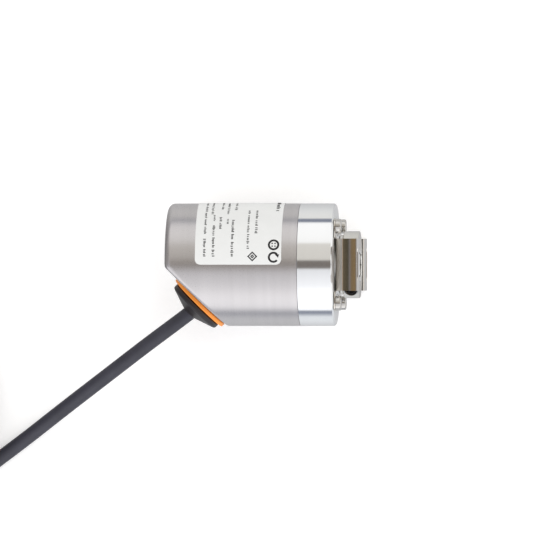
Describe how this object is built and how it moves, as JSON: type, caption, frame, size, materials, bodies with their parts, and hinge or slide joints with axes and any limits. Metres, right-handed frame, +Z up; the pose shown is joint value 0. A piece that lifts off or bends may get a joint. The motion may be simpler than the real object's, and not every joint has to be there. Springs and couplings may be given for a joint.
{
  "type": "rotary encoder",
  "caption": "Small hollow-shaft rotary encoder: turned steel housing with an oblique cable outlet, bright flange, spring-sheet stator coupling, clamp ring, cable with round plug.",
  "frame": {"origin": "on the table, under the middle of the encoder's box without its free cable: the far coupling ear stands on z = 0", "axes": "+X along the shaft from the housing's rear face to the clamp ring, +Z up through the coupling's upper ear, cable outlet towards -X and -Y"},
  "size_m": [0.1797, 0.0981, 0.0455],
  "materials": {
    "steel_housing": "fine turned matt steel",
    "bright_aluminium": "bright fine-turned",
    "spring_steel": "smooth rolled sheet",
    "screw_steel": "bright plated",
    "black_oxide": "black oxide",
    "ring_steel": "fine turned",
    "bearing_steel": "ground",
    "brass": "plain",
    "orange_plastic": "matt moulded",
    "black_plastic": "fine moulded texture",
    "jacket": "matt blue-black cable jacket",
    "rubber": "matt",
    "label": "satin printed film",
    "glass": "clear",
    "board": "glass-fibre board",
    "chip": "moulded",
    "ceramic": "fired"
  },
  "bodies": {
    "stator": {"rear_housing": "steel_housing", "front_flange": "bright_aluminium", "housing_oring": "rubber", "shaft_seal": "rubber", "front_bearing_outer_ring": "bearing_steel", "rear_bearing_outer_ring": "bearing_steel", "outer_spacer": "ring_steel", "bearing_retaining_ring": "spring_steel", "stator_coupling": "spring_steel", "coupling_screw_1": "screw_steel", "coupling_screw_2": "screw_steel", "coupling_screw_3": "screw_steel", "coupling_screw_4": "screw_steel", "light_source": "glass", "scanning_reticle": "glass", "sensor_chip": "chip", "circuit_board": "board", "board_standoff_1": "brass", "board_standoff_2": "brass", "board_standoff_3": "brass", "board_screw_1": "screw_steel", "board_screw_2": "screw_steel", "board_screw_3": "screw_steel", "signal_chip": "chip", "line_driver_chip": "chip", "capacitor_a": "ceramic", "capacitor_b": "ceramic", "wire_header": "label", "gland_ring": "orange_plastic", "strain_relief": "black_plastic", "crimp_sleeve": "brass", "wire_bundle": "jacket", "type_label": "label", "cable": "jacket", "cable_tail": "jacket", "cable_coil": "jacket", "coil_tie_a": "rubber", "coil_tie_b": "rubber", "plug_body": "black_plastic", "plug_insert": "black_plastic"},
    "rotor": {"hollow_shaft": "ring_steel", "clamp_ring": "ring_steel", "clamp_screw": "black_oxide", "front_bearing_inner_ring": "bearing_steel", "rear_bearing_inner_ring": "bearing_steel", "inner_spacer": "ring_steel", "shaft_retaining_ring": "spring_steel", "disc_hub": "brass", "code_disc": "glass"},
    "front_balls": {"front_ball_set": "bearing_steel"},
    "rear_balls": {"rear_ball_set": "bearing_steel"},
    "nut": {"plug_nut": "screw_steel"}
  },
  "joints": [
    {"name": "shaft_spin", "type": "hinge", "parent": "stator", "child": "rotor", "pos_m": [0.0212, 0, 0.02275], "axis": [1, 0, 0], "continuous": true},
    {"name": "front_balls_spin", "type": "hinge", "parent": "stator", "child": "front_balls", "pos_m": [0.0212, 0, 0.02275], "axis": [1, 0, 0], "continuous": true},
    {"name": "rear_balls_spin", "type": "hinge", "parent": "stator", "child": "rear_balls", "pos_m": [0.0212, 0, 0.02275], "axis": [1, 0, 0], "continuous": true},
    {"name": "nut_spin", "type": "hinge", "parent": "stator", "child": "nut", "pos_m": [-0.1285, 0, 0.0072], "axis": [1, 0, 0], "continuous": true}
  ],
  "couplings": [
    {"joint": "front_balls_spin", "follows": "shaft_spin", "ratio": 0.428},
    {"joint": "rear_balls_spin", "follows": "shaft_spin", "ratio": 0.428}
  ]
}
